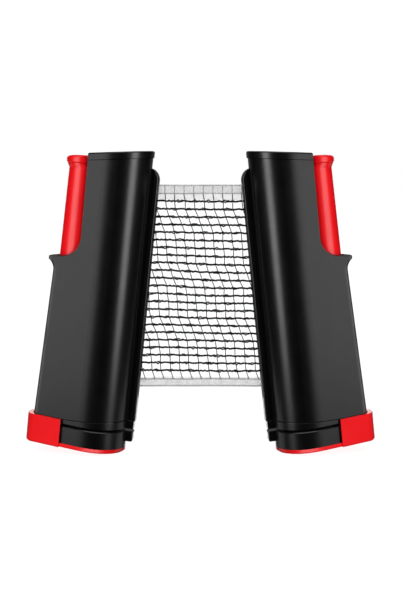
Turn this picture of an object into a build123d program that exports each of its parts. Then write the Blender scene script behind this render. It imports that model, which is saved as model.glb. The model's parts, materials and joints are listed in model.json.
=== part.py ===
from build123d import *
import math
import os

# Retractable table tennis net: two spring clamp posts joined by a net.
# +X runs along the net, +Y to the back, +Z up. The origin is the centre of the
# bounding box at its lowest point. The left post holds the sprung net roller,
# the right post holds the fixed end of the net. Each post is drawn in a plane
# of its own: local x points at the net, local z runs up the post, and the
# roller axis passes through the local origin. Lengths in mm, angles in degrees.

os.makedirs("parts", exist_ok=True)

# ---- How the posts stand -------------------------------------------------------
LEAN = 5.85            # each post leans towards the other one
TOE_IN = 6.0           # each post is turned about its own axis, handle to the back
AXIS_OFFSET = 80.15    # from the middle of the net to a roller axis at the foot
SLOT_MIDDLE = 25.0     # local x at which the net slot crosses the net's plane
NET_Y = -SLOT_MIDDLE * math.sin(math.radians(TOE_IN))
FOOT_LIFT = 2.25       # height of the foot centre when its low edge is at zero

# ---- Outline of a post, seen from above ----------------------------------------
CHAMBER_R = 22.0       # round part that holds the roller
SHOULDER_R = 40.0      # wider arc between the round part and the flat flanks
FLANK_SLOPE = 18.0     # the flanks close in towards the tail
TAIL_CROWN = 3.0       # bulge of the tail's end
TAIL_CORNER = 4.5
TAIL_FOOT = 51.4       # tail end from the roller axis at the foot
TAIL_GRIP = 45.9       # the same below the finger lip
WALL = 2.0

# ---- Heights up the post -------------------------------------------------------
PLATE_TOP = 3.2
BLOCK_TOP = 16.6
BODY_FOOT = 18.2
BASE_SEAM = 23.4
GRIP_TOP = 133.0
LIP_FOOT = 141.6
LIP_TOP = 143.8        # lowest point of the lip's top
RECESS_START = 161.0
TOP_SEAM = 222.0
TOP_FACE = 227.3
BASE_SLOPE = 4.0
TOP_SLOPE = 7.5
BODY_LIMIT = 236.0

RECESS_X = -24.0       # flat wall behind the push column
RECESS_R = 15.4        # arc from that wall to the top of the finger lip
LIP_SLOPE = 8.0        # the lip's top falls away from the post
LIP_X = 50.2
EDGE_R = 0.6           # softened edges of the finger lip and the recess
SEAM_R = 0.45          # rounding on both sides of a seam

# ---- Push column, rod and spring -----------------------------------------------
COLUMN_X = -33.4
COLUMN_HALF = (7.8, 7.3)
COLUMN_FOOT = 113.0
COLUMN_FOOT_HALF = (8.6, 7.3)
COLUMN_NECK = 212.0
COLUMN_NECK_HALF = (7.5, 7.0)
COLUMN_WALL = 2.0
RIM_X = -34.6
RIM_HALF = (8.4, 8.5)
RIM_LOW = 215.6
RIM_TOP = 226.2        # where the sloped rim face would meet the roller axis
SLIDE_GAP = 0.5
ROD_R = 3.0
ROD_TOP = 127.0
BUSH_R = 4.2
BUSH_TOP = 30.0
SPRING_R = 5.6
SPRING_WIRE_R = 0.55
SPRING_TURNS = 20
SPRING_LOW = 22.6
SEAT_LOW = 110.6

# ---- Jaws ----------------------------------------------------------------------
WRAP_X = -26.8         # where the red wrap ends on the side of the post
WRAP_TOP = 21.8
WRAP_REACH = 53.6
WRAP_GROW = 2.1
WRAP_GAP = 0.45
PAD_R = 14.4
PAD_POCKET = 1.2
PAD_PROUD = 0.62
PAD_GROOVES = 7
STUB_X = 27.4          # short guide pieces in line with the net rail
STUB_HALF = 4.2

# ---- Net and roller ------------------------------------------------------------
NET_TOP = 204.2
TOP_TAPE_LOW = 192.6
BOTTOM_TAPE_HIGH = 57.6
NET_LOW = 49.9
NET_THICK = 0.8
TAPE_THICK = 1.2
SLOT_WIDTH = 3.6
SLOT_LOW = 42.0
SLOT_HIGH = 210.5
AXLE_R = 2.0
AXLE_LOW = 26.0
AXLE_HIGH = 216.0
CORE_R = 6.0
CORE_BORE_R = 4.7
CORE_LOW = 46.0
CORE_HIGH = 206.4
FLANGE_R = 18.4
FLANGE_THICK = 1.6
HUB_LENGTH = 8.0
ROLL_R = 16.8
HEM_R = 7.2
ROLL_LOW = 48.0
ROLL_HIGH = 203.5
RUNNING_GAP = 0.05
FIXED_GAP = 0.02
BOSS_R = 5.0
WASHER_THICK = 1.4
POWER_SPRING_R = 3.4
POWER_WIRE_R = 0.4
POWER_TURNS = 26

RAIL_X = 28.3
RAIL_HEAD = 3.5
RAIL_HEAD_HALF = 4.6
RAIL_NECK_HALF = 3.4
RAIL_LOW = 24.6
RAIL_TOP = 217.4
RAIL_CROWN = 8.6       # height over which the top of the rail is rounded

# ---- Screws --------------------------------------------------------------------
SCREW_ANGLES = (70, 180, 290)
SCREW_RING = 17.6
SCREW_BOSS_R = 2.9
SCREW_R = 1.2
SCREW_HEAD_R = 2.2
SCREW_HEAD = 1.8
SCREW_ROOM = 0.1
JAW_SCREW_RING = 11.0
JAW_SCREW_LENGTH = 11.0
BODY_SCREW_LENGTH = 16.0
CAP_SCREW_LENGTH = 10.0


def post_plane(side):
    """Plane of one post: side is -1 for the left post and 1 for the right one."""
    lean = math.radians(LEAN)
    toe = math.radians(TOE_IN)
    up = Vector(-side * math.sin(lean), 0, math.cos(lean))
    to_net = Vector(-side * math.cos(lean), 0, -math.sin(lean))
    x_dir = to_net * math.cos(toe) + Vector(0, -1, 0) * math.sin(toe)
    foot = Vector(side * AXIS_OFFSET, 0, FOOT_LIFT)
    return Plane(origin=foot, x_dir=x_dir, z_dir=up)


def side_plane(post):
    """Upright plane along the post: sketch x is local x and sketch y is height."""
    return Plane(origin=post.origin, x_dir=post.x_dir, z_dir=post.x_dir.cross(post.z_dir))


def sloped_plane(post, height, slope):
    """Plane across the post that rises towards the net by slope degrees."""
    angle = math.radians(slope)
    x_dir = post.x_dir * math.cos(angle) + post.z_dir * math.sin(angle)
    z_dir = post.z_dir * math.cos(angle) - post.x_dir * math.sin(angle)
    return Plane(origin=post.origin + post.z_dir * height, x_dir=x_dir, z_dir=z_dir)


def at(post, x, y, height):
    """Plane across the post with its origin at a local point."""
    return Plane(origin=post.from_local_coords(Vector(x, y, height)), x_dir=post.x_dir, z_dir=post.z_dir)


def post_outline(plane, reach, grow=0.0):
    """Teardrop outline of a post: a round part, flat flanks and a narrow tail."""
    slope = math.radians(FLANK_SLOPE)
    flank_x = -SHOULDER_R * math.sin(slope)
    flank_y = CHAMBER_R - SHOULDER_R * (1 - math.cos(slope))
    corner_x = TAIL_CROWN - reach
    corner_y = flank_y + (corner_x - flank_x) * math.tan(slope)
    with BuildSketch(plane) as outline:
        with BuildLine():
            ThreePointArc((0, CHAMBER_R), (CHAMBER_R, 0), (0, -CHAMBER_R))
            TangentArc((0, CHAMBER_R), (flank_x, flank_y), tangent=(-1, 0))
            Line((flank_x, flank_y), (corner_x, corner_y))
            ThreePointArc((corner_x, corner_y), (-reach, 0), (corner_x, -corner_y))
            Line((corner_x, -corner_y), (flank_x, -flank_y))
            TangentArc((0, -CHAMBER_R), (flank_x, -flank_y), tangent=(-1, 0))
        make_face()
        corners = outline.vertices().sort_by(Axis.X)[:2]
        fillet(corners, radius=TAIL_CORNER)
        if grow:
            offset(amount=grow)
    return outline.sketch


def pocket_outline(plane, outer_x):
    """Rounded slot that the push column slides in."""
    inner_x = COLUMN_X + COLUMN_HALF[0] + SLIDE_GAP
    half = COLUMN_HALF[1] + SLIDE_GAP
    with BuildSketch(plane) as pocket:
        with Locations(((inner_x + outer_x) / 2, 0)):
            RectangleRounded(inner_x - outer_x, 2 * half, 6.0)
    return pocket.sketch


def recess_edges(blank, post):
    """Edges all round the mouth of the recess, without the folds across it."""
    across = Axis(post.origin, post.y_dir)
    faces = []
    for face in blank.faces():
        middle = post.to_local_coords(face.center())
        if abs(middle.Y) < 0.01 and middle.X < RECESS_X + 0.01 and middle.Z > LIP_TOP:
            faces.append(face)
    edges = ShapeList(faces).edges()
    low = edges.filter_by(lambda edge: post.to_local_coords(edge.center()).Z < BODY_LIMIT - 1)
    return low - low.filter_by(across)


def body_blank(post):
    """Outside shape of the black body from the upper jaw to the cap, all solid."""
    foot = post_outline(at(post, 0, 0, BODY_FOOT), TAIL_FOOT)
    grip = post_outline(at(post, 0, 0, GRIP_TOP), TAIL_GRIP)
    flare = [
        post_outline(at(post, 0, 0, GRIP_TOP + 3.5), TAIL_GRIP + 0.4),
        post_outline(at(post, 0, 0, GRIP_TOP + 6.2), TAIL_GRIP + 1.8),
        post_outline(at(post, 0, 0, LIP_FOOT), LIP_X - 0.2),
    ]
    lip = post_outline(at(post, 0, 0, LIP_FOOT), LIP_X)
    slope = math.radians(LIP_SLOPE)
    floor_start = (RECESS_X - RECESS_R * (1 - math.sin(slope)), RECESS_START - RECESS_R * math.cos(slope))
    floor_end = (floor_start[0] - 20, floor_start[1] - 20 * math.tan(slope))
    with BuildPart() as blank:
        loft(sections=[foot.face(), grip.face()], ruled=True)
        loft(sections=[grip.face()] + [step.face() for step in flare])
        extrude(lip, amount=BODY_LIMIT - LIP_FOOT)
        # hollow above the finger lip, where the push column stands free
        with BuildSketch(side_plane(post)):
            with BuildLine():
                Line((RECESS_X, BODY_LIMIT + 5), (RECESS_X, RECESS_START))
                TangentArc((RECESS_X, RECESS_START), floor_start, tangent=(0, -1))
                Line(floor_start, floor_end)
                Line(floor_end, (floor_end[0], BODY_LIMIT + 5))
                Line((floor_end[0], BODY_LIMIT + 5), (RECESS_X, BODY_LIMIT + 5))
            make_face()
        extrude(amount=30, both=True, mode=Mode.SUBTRACT)
        fillet(recess_edges(blank, post), radius=EDGE_R)
        split(bisect_by=sloped_plane(post, TOP_FACE, TOP_SLOPE), keep=Keep.BOTTOM)
    return blank.part


def local_ring(radius, angles):
    """Local points on a circle about the roller axis."""
    return [(radius * math.cos(math.radians(a)), radius * math.sin(math.radians(a))) for a in angles]


def finish(part, name):
    part.label = name
    export_step(part, f"parts/{name}.step")


def tube(plane, outer, inner, length):
    """Plain round tube standing on a plane."""
    with BuildPart() as piece:
        with BuildSketch(plane):
            Circle(outer)
            Circle(inner, mode=Mode.SUBTRACT)
        extrude(amount=length)
    return piece.part


def make_housing(name, post, blank):
    """Main shell: round roller chamber, column channel, finger lip and net slot."""
    channel_foot = pocket_outline(at(post, 0, 0, BODY_FOOT), WALL - TAIL_FOOT)
    channel_top = pocket_outline(at(post, 0, 0, GRIP_TOP), WALL - TAIL_GRIP)
    base_seam = sloped_plane(post, BASE_SEAM, BASE_SLOPE)
    top_seam = sloped_plane(post, TOP_SEAM, TOP_SLOPE)
    with BuildPart() as housing:
        add(blank)
        split(bisect_by=base_seam, keep=Keep.TOP)
        split(bisect_by=top_seam, keep=Keep.BOTTOM)
        fillet(housing.faces().filter_by(base_seam).edges(), radius=SEAM_R)
        fillet(housing.faces().filter_by(top_seam).edges(), radius=SEAM_R)
        with BuildSketch(at(post, 0, 0, BODY_FOOT)):
            Circle(CHAMBER_R - WALL)
        extrude(amount=BODY_LIMIT, mode=Mode.SUBTRACT)
        loft(sections=[channel_foot.face(), channel_top.face()], ruled=True, mode=Mode.SUBTRACT)
        extrude(channel_top, amount=BODY_LIMIT, mode=Mode.SUBTRACT)
        # shallow groove in the flat wall behind the column
        with BuildSketch(at(post, COLUMN_X, 0, RECESS_START - 16)):
            Ellipse(COLUMN_HALF[0] + 2.2, COLUMN_HALF[1] + 1.6)
        extrude(amount=BODY_LIMIT, mode=Mode.SUBTRACT)
        # slot that the net runs through
        with BuildSketch(at(post, CHAMBER_R, 0, SLOT_LOW)):
            Rectangle(3 * WALL, SLOT_WIDTH + 1.0)
        extrude(amount=SLOT_HIGH - SLOT_LOW, mode=Mode.SUBTRACT)
        # screw bosses at both ends of the chamber
        with BuildSketch(at(post, 0, 0, BODY_FOOT)):
            with Locations(*local_ring(SCREW_RING, SCREW_ANGLES)):
                Circle(SCREW_BOSS_R)
        extrude(amount=SLOT_LOW - BODY_FOOT)
        with BuildSketch(at(post, 0, 0, SLOT_HIGH - 1)):
            with Locations(*local_ring(SCREW_RING, SCREW_ANGLES)):
                Circle(SCREW_BOSS_R)
        extrude(amount=BODY_LIMIT - SLOT_HIGH)
        split(bisect_by=base_seam, keep=Keep.TOP)
        split(bisect_by=top_seam, keep=Keep.BOTTOM)
        with BuildSketch(at(post, 0, 0, BODY_FOOT)):
            with Locations(*local_ring(SCREW_RING, SCREW_ANGLES)):
                Circle(SCREW_R + SCREW_ROOM)
        extrude(amount=BODY_SCREW_LENGTH + 4, mode=Mode.SUBTRACT)
        with BuildSketch(at(post, 0, 0, SLOT_HIGH)):
            with Locations(*local_ring(SCREW_RING, SCREW_ANGLES)):
                Circle(SCREW_R + SCREW_ROOM)
        extrude(amount=BODY_LIMIT - SLOT_HIGH, mode=Mode.SUBTRACT)
    finish(housing.part, name)


def make_top_cap(name, post):
    """Sloped lid with a rounded rim, a boss for the axle and three screw wells."""
    rim = post_outline(at(post, 0, 0, SLOT_HIGH), TAIL_GRIP, grow=0.8)
    seam = sloped_plane(post, TOP_SEAM, TOP_SLOPE)
    upward = Axis(post.origin, post.z_dir)
    with BuildPart() as cap:
        extrude(rim, amount=BODY_LIMIT - SLOT_HIGH)
        with BuildSketch(at(post, RECESS_X, 0, 0)):
            Rectangle(80, 80, align=(Align.MAX, Align.CENTER))
        extrude(amount=BODY_LIMIT + 5, mode=Mode.SUBTRACT)
        split(bisect_by=seam, keep=Keep.TOP)
        split(bisect_by=sloped_plane(post, TOP_FACE, TOP_SLOPE), keep=Keep.BOTTOM)
        fillet(cap.faces().filter_by(seam).sort_by(upward)[-1].edges(), radius=1.3)
        with BuildSketch(at(post, 0, 0, CORE_HIGH + FLANGE_THICK + WASHER_THICK + 0.5)):
            Circle(BOSS_R)
        extrude(amount=TOP_SEAM - CORE_HIGH)
        split(bisect_by=sloped_plane(post, TOP_FACE, TOP_SLOPE), keep=Keep.BOTTOM)
        with BuildSketch(at(post, 0, 0, CORE_HIGH)):
            Circle(AXLE_R + FIXED_GAP)
        extrude(amount=AXLE_HIGH - CORE_HIGH, mode=Mode.SUBTRACT)
        with BuildSketch(at(post, 0, 0, SLOT_HIGH)):
            with Locations(*local_ring(SCREW_RING, SCREW_ANGLES)):
                Circle(SCREW_R + SCREW_ROOM)
        extrude(amount=BODY_LIMIT - SLOT_HIGH, mode=Mode.SUBTRACT)
        for x, y in local_ring(SCREW_RING, SCREW_ANGLES):
            with BuildSketch(at(post, x, y, cap_screw_seat(x))):
                Circle(SCREW_HEAD_R + SCREW_ROOM)
            extrude(amount=BODY_LIMIT, mode=Mode.SUBTRACT)
    finish(cap.part, name)


def cap_screw_seat(x):
    """Height of the seat of a cap screw, a little under the sloped top face."""
    return TOP_FACE + x * math.tan(math.radians(TOP_SLOPE)) - SCREW_HEAD - 0.9


def make_base_cap(name, post, blank):
    """Upper jaw: closes the foot of the shell and carries bush, axle boss and pad."""
    pad_plane = at(post, 0, 0, BODY_FOOT)
    seam = sloped_plane(post, BASE_SEAM, BASE_SLOPE)
    with BuildPart() as cap:
        add(blank)
        split(bisect_by=seam, keep=Keep.BOTTOM)
        fillet(cap.faces().filter_by(pad_plane).edges(), radius=SEAM_R)
        fillet(cap.faces().filter_by(seam).edges(), radius=SEAM_R)
        # short guide in line with the rail
        with BuildSketch(pad_plane):
            with Locations((CHAMBER_R - 2, 0)):
                Rectangle(STUB_X - CHAMBER_R + 2, 2 * STUB_HALF, align=(Align.MIN, Align.CENTER))
        extrude(amount=RAIL_LOW - BODY_FOOT - 0.6)
        with BuildSketch(at(post, 0, 0, BODY_FOOT + 2)):
            Circle(BOSS_R)
        extrude(amount=CORE_LOW - FLANGE_THICK - WASHER_THICK - BODY_FOOT - 2.3)
        with BuildSketch(at(post, 0, 0, AXLE_LOW)):
            Circle(AXLE_R + FIXED_GAP)
        extrude(amount=CORE_LOW - AXLE_LOW, mode=Mode.SUBTRACT)
        with BuildSketch(pad_plane):
            Circle(PAD_R + SCREW_ROOM)
        extrude(amount=PAD_POCKET, mode=Mode.SUBTRACT)
        with BuildSketch(pad_plane):
            with Locations((COLUMN_X, 0)):
                Circle(BUSH_R + FIXED_GAP)
            with Locations(*local_ring(SCREW_RING, SCREW_ANGLES)):
                Circle(SCREW_R + SCREW_ROOM)
        extrude(amount=BASE_SEAM - BODY_FOOT + 1.5, mode=Mode.SUBTRACT)
        with BuildSketch(pad_plane):
            with Locations(*local_ring(SCREW_RING, SCREW_ANGLES)):
                Circle(SCREW_HEAD_R + SCREW_ROOM)
        extrude(amount=SCREW_HEAD + 0.4, mode=Mode.SUBTRACT)
    finish(cap.part, name)


def make_net_rail(name, post):
    """T-shaped guide strip on the inner side, slotted for the net, rounded on top."""
    head_x = RAIL_X - RAIL_HEAD
    crown_foot = RAIL_TOP - RAIL_CROWN

    def on_head_rim(edge):
        middle = post.to_local_coords(edge.center())
        upright = middle.Z > RAIL_LOW + 1
        return upright and middle.X > head_x + 0.5 and abs(middle.Y) > RAIL_HEAD_HALF - 0.1

    with BuildPart() as rail:
        with BuildSketch(at(post, 0, 0, RAIL_LOW)):
            with Locations((head_x, 0)):
                Rectangle(RAIL_HEAD, 2 * RAIL_HEAD_HALF, align=(Align.MIN, Align.CENTER))
            with Locations((CHAMBER_R - 3, 0)):
                Rectangle(head_x - CHAMBER_R + 3.5, 2 * RAIL_NECK_HALF, align=(Align.MIN, Align.CENTER))
        extrude(amount=RAIL_TOP - RAIL_LOW)
        with BuildSketch(side_plane(post)):
            with BuildLine():
                TangentArc((RAIL_X, crown_foot), (CHAMBER_R - 3, RAIL_TOP), tangent=(0, 1))
                Line((CHAMBER_R - 3, RAIL_TOP), (CHAMBER_R - 3, RAIL_TOP + 2))
                Line((CHAMBER_R - 3, RAIL_TOP + 2), (RAIL_X + 2, RAIL_TOP + 2))
                Line((RAIL_X + 2, RAIL_TOP + 2), (RAIL_X + 2, crown_foot))
                Line((RAIL_X + 2, crown_foot), (RAIL_X, crown_foot))
            make_face()
        extrude(amount=10, both=True, mode=Mode.SUBTRACT)
        fillet(rail.edges().filter_by(on_head_rim), radius=1.2)
        with BuildSketch(at(post, 0, 0, RAIL_LOW - 1)):
            Circle(CHAMBER_R + FIXED_GAP)
        extrude(amount=RAIL_TOP, mode=Mode.SUBTRACT)
        with BuildSketch(at(post, CHAMBER_R, 0, SLOT_LOW)):
            Rectangle(20, SLOT_WIDTH)
        extrude(amount=SLOT_HIGH - SLOT_LOW, mode=Mode.SUBTRACT)
    finish(rail.part, name)


def make_pad(name, post, low):
    """Round rubber grip pad with grooves across it on both faces."""
    thick = PAD_POCKET + PAD_PROUD
    with BuildPart() as pad:
        with BuildSketch(at(post, 0, 0, low)):
            Circle(PAD_R)
        extrude(amount=thick)
        with BuildSketch(at(post, 0, 0, low)):
            with GridLocations(2 * PAD_R / PAD_GROOVES, 1, PAD_GROOVES, 1):
                Rectangle(0.8, 3 * PAD_R)
        extrude(amount=0.35, mode=Mode.SUBTRACT)
        with BuildSketch(at(post, 0, 0, low + thick - 0.35)):
            with GridLocations(2 * PAD_R / PAD_GROOVES, 1, PAD_GROOVES, 1):
                Rectangle(0.8, 3 * PAD_R)
        extrude(amount=0.35, mode=Mode.SUBTRACT)
    finish(pad.part, name)


def make_push_column(name, post):
    """Red push handle: tapered oval column with a rounded thumb rim on top."""
    foot_x = COLUMN_X + COLUMN_HALF[0] - COLUMN_FOOT_HALF[0]
    neck_x = COLUMN_X + COLUMN_HALF[0] - COLUMN_NECK_HALF[0]
    upward = Axis(post.origin, post.z_dir)
    with BuildSketch(at(post, foot_x, 0, COLUMN_FOOT)) as foot:
        Ellipse(*COLUMN_FOOT_HALF)
    with BuildSketch(at(post, neck_x, 0, COLUMN_NECK)) as neck:
        Ellipse(*COLUMN_NECK_HALF)
    with BuildSketch(at(post, RIM_X, 0, RIM_LOW)) as rim_foot:
        Ellipse(RIM_HALF[0] - 0.6, RIM_HALF[1] - 0.6)
    with BuildPart() as rim:
        with BuildSketch(at(post, RIM_X, 0, RIM_LOW)):
            Ellipse(*RIM_HALF)
        extrude(amount=BODY_LIMIT - RIM_LOW)
        split(bisect_by=sloped_plane(post, RIM_TOP, TOP_SLOPE), keep=Keep.BOTTOM)
        fillet(rim.faces().sort_by(upward)[-1].edges(), radius=2.4)
        fillet(rim.faces().sort_by(upward)[0].edges(), radius=1.2)
    with BuildPart() as column:
        loft(sections=[foot.sketch.face(), neck.sketch.face()], ruled=True)
        loft(sections=[neck.sketch.face(), rim_foot.sketch.face()], ruled=True)
        add(rim.part)
        # dish in the top for the thumb
        dish = at(post, RIM_X, 0, RIM_TOP + RIM_X * math.tan(math.radians(TOP_SLOPE)) + 20.9)
        with BuildSketch(Plane(origin=dish.origin, x_dir=post.x_dir, z_dir=post.x_dir.cross(post.z_dir))):
            with BuildLine():
                ThreePointArc((0, -22), (22, 0), (0, 22))
                Line((0, 22), (0, -22))
            make_face()
        revolve(axis=Axis(dish.origin, post.z_dir), revolution_arc=360, mode=Mode.SUBTRACT)
        # hollow inside
        with BuildSketch(at(post, COLUMN_X, 0, COLUMN_FOOT)):
            Ellipse(COLUMN_NECK_HALF[0] - COLUMN_WALL, COLUMN_NECK_HALF[1] - COLUMN_WALL)
        extrude(amount=COLUMN_NECK - COLUMN_FOOT - 6, mode=Mode.SUBTRACT)
    finish(column.part, name)


def make_spring_seat(name, post):
    """Plug in the foot of the column; its flange rides on the clamp spring."""
    with BuildPart() as seat:
        with BuildSketch(at(post, COLUMN_X, 0, SEAT_LOW)):
            Ellipse(COLUMN_HALF[0] - 0.2, COLUMN_HALF[1] - 0.1)
        extrude(amount=COLUMN_FOOT - SEAT_LOW)
        with BuildSketch(at(post, COLUMN_X, 0, COLUMN_FOOT)):
            plug_x = COLUMN_NECK_HALF[0] - COLUMN_WALL - FIXED_GAP
            plug_y = COLUMN_NECK_HALF[1] - COLUMN_WALL - FIXED_GAP
            Ellipse(plug_x, plug_y)
        extrude(amount=ROD_TOP - COLUMN_FOOT + 2)
        with BuildSketch(at(post, COLUMN_X, 0, SEAT_LOW)):
            Circle(ROD_R + FIXED_GAP)
        extrude(amount=ROD_TOP - SEAT_LOW, mode=Mode.SUBTRACT)
    finish(seat.part, name)


def make_slide_rod(name, post):
    """Steel rod from the lower jaw up into the column, tapped at its foot."""
    with BuildPart() as rod:
        with BuildSketch(at(post, COLUMN_X, 0, PLATE_TOP)):
            Circle(ROD_R)
        extrude(amount=ROD_TOP - PLATE_TOP)
        chamfer(rod.edges().filter_by(GeomType.CIRCLE), length=0.4)
        with BuildSketch(at(post, COLUMN_X, 0, PLATE_TOP)):
            Circle(SCREW_R + SCREW_ROOM)
        extrude(amount=JAW_SCREW_LENGTH + 3, mode=Mode.SUBTRACT)
    finish(rod.part, name)


def make_coil(name, post, x, low, high, radius, wire, turns):
    """Round-wire coil spring standing along the post."""
    start = post.from_local_coords(Vector(x, 0, low))
    pitch = (high - low) / turns
    with BuildPart() as coil:
        with BuildLine():
            turn_path = Helix(pitch=pitch, height=high - low, radius=radius, center=start, direction=post.z_dir)
        with BuildSketch(Plane(origin=turn_path @ 0, z_dir=turn_path % 0)):
            Circle(wire)
        sweep(path=turn_path, is_frenet=True)
    finish(coil.part, name)


def make_jaw_shell(name, post):
    """Red lower jaw: foot plate with a wall that wraps round the tail of the post."""
    foot = at(post, 0, 0, 0)
    plate = post_outline(foot, TAIL_FOOT)
    wrap = post_outline(foot, WRAP_REACH, grow=WRAP_GROW)
    hollow = post_outline(at(post, 0, 0, PLATE_TOP), TAIL_FOOT, grow=WRAP_GAP)
    upward = Axis(post.origin, post.z_dir)
    with BuildPart() as wall:
        extrude(wrap, amount=WRAP_TOP)
        chamfer(wall.faces().sort_by(upward)[0].edges(), length=0.9)
        chamfer(wall.faces().sort_by(upward)[-1].edges(), length=0.5)
        with BuildSketch(at(post, WRAP_X, 0, -1)):
            Rectangle(80, 80, align=(Align.MIN, Align.CENTER))
        extrude(amount=WRAP_TOP + 2, mode=Mode.SUBTRACT)
        extrude(hollow, amount=WRAP_TOP, mode=Mode.SUBTRACT)
    with BuildPart() as shell:
        extrude(plate, amount=PLATE_TOP)
        chamfer(shell.faces().sort_by(upward)[0].edges(), length=0.9)
        add(wall.part)
        with BuildSketch(foot):
            with PolarLocations(JAW_SCREW_RING, 3):
                Circle(SCREW_HEAD_R + SCREW_ROOM)
            with Locations((COLUMN_X, 0)):
                Circle(SCREW_HEAD_R + SCREW_ROOM)
        extrude(amount=SCREW_HEAD + 0.4, mode=Mode.SUBTRACT)
        with BuildSketch(foot):
            with PolarLocations(JAW_SCREW_RING, 3):
                Circle(SCREW_R + SCREW_ROOM)
            with Locations((COLUMN_X, 0)):
                Circle(SCREW_R + SCREW_ROOM)
        extrude(amount=PLATE_TOP, mode=Mode.SUBTRACT)
    finish(shell.part, name)


def make_jaw_block(name, post):
    """Black lower jaw block inside the red shell, with a guide stub and pad pocket."""
    shape = post_outline(at(post, 0, 0, PLATE_TOP), TAIL_FOOT)
    upward = Axis(post.origin, post.z_dir)
    facing = Axis(post.origin, post.x_dir)
    with BuildPart() as stub:
        with BuildSketch(at(post, CHAMBER_R - 3, 0, PLATE_TOP + 5)):
            Rectangle(STUB_X - CHAMBER_R + 3, 2 * STUB_HALF, align=(Align.MIN, Align.CENTER))
        extrude(amount=BLOCK_TOP - PLATE_TOP - 5.2)
        fillet(stub.faces().sort_by(facing)[-1].edges(), radius=1.2)
    with BuildPart() as block:
        extrude(shape, amount=BLOCK_TOP - PLATE_TOP)
        chamfer(block.faces().sort_by(upward)[-1].edges(), length=0.7)
        add(stub.part)
        with BuildSketch(at(post, 0, 0, BLOCK_TOP - PAD_POCKET)):
            Circle(PAD_R + SCREW_ROOM)
        extrude(amount=PAD_POCKET, mode=Mode.SUBTRACT)
        with BuildSketch(at(post, COLUMN_X, 0, PLATE_TOP)):
            Circle(ROD_R + FIXED_GAP)
        extrude(amount=BLOCK_TOP, mode=Mode.SUBTRACT)
        with BuildSketch(at(post, 0, 0, PLATE_TOP)):
            with PolarLocations(JAW_SCREW_RING, 3):
                Circle(SCREW_R + SCREW_ROOM)
        extrude(amount=JAW_SCREW_LENGTH - 1, mode=Mode.SUBTRACT)
        # hollow underside between the screw bosses
        with BuildSketch(at(post, 0, 0, PLATE_TOP)):
            Circle(CHAMBER_R - 2.4)
            Circle(JAW_SCREW_RING + 3, mode=Mode.SUBTRACT)
            Rectangle(8, 60, mode=Mode.SUBTRACT)
            with Locations((CHAMBER_R, 0)):
                Rectangle(12, 12, mode=Mode.SUBTRACT)
        extrude(amount=BLOCK_TOP - PLATE_TOP - 3.5, mode=Mode.SUBTRACT)
    finish(block.part, name)


def make_screws(name, post, places, head_up, length):
    """Pan head screws along the post: places holds (x, y, seat height) of each."""
    away = 1 if head_up else -1
    with BuildPart() as screws:
        for x, y, seat in places:
            with BuildSketch(at(post, x, y, seat)):
                Circle(SCREW_HEAD_R)
            extrude(amount=away * SCREW_HEAD)
            with BuildSketch(at(post, x, y, seat)):
                Circle(SCREW_R)
            extrude(amount=-away * length)
        driver = SCREW_HEAD * 0.55
        for x, y, seat in places:
            with BuildSketch(at(post, x, y, seat + away * (SCREW_HEAD - driver))):
                Rectangle(2.4, 0.6)
                Rectangle(0.6, 2.4)
            extrude(amount=away * driver, mode=Mode.SUBTRACT)
    finish(screws.part, name)


def make_flange(name, post, face, inward):
    """Roller end: a disc outside the core and a hub that plugs into it."""
    with BuildPart() as flange:
        with BuildSketch(at(post, 0, 0, face)):
            Circle(FLANGE_R)
        extrude(amount=-inward * FLANGE_THICK)
        with BuildSketch(at(post, 0, 0, face)):
            Circle(CORE_BORE_R - FIXED_GAP)
        extrude(amount=inward * HUB_LENGTH)
        with BuildSketch(at(post, 0, 0, face - HUB_LENGTH - 3)):
            Circle(AXLE_R + RUNNING_GAP)
        extrude(amount=3 * HUB_LENGTH, mode=Mode.SUBTRACT)
    finish(flange.part, name)


def slot_edge(post, x, z):
    """World X and Z of the net's edge at local x of a post and at height z."""
    start = post.from_local_coords(Vector(x, 0, 0))
    height = (z - start.Z) / post.z_dir.Z
    point = start + post.z_dir * height
    return (point.X, point.Z)


def make_net_band(name, left_post, right_post, low, high, thick):
    """Flat band of the net from the roller in the left post to the hem in the right."""
    left_x = ROLL_R + 1.2
    right_x = HEM_R + 0.5
    with BuildPart() as band:
        with BuildSketch(Plane.XZ.offset(-NET_Y)):
            with BuildLine():
                Polyline(
                    slot_edge(left_post, left_x, low),
                    slot_edge(right_post, right_x, low),
                    slot_edge(right_post, right_x, high),
                    slot_edge(left_post, left_x, high),
                    close=True,
                )
            make_face()
        extrude(amount=thick / 2, both=True)
    finish(band.part, name)


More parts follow.
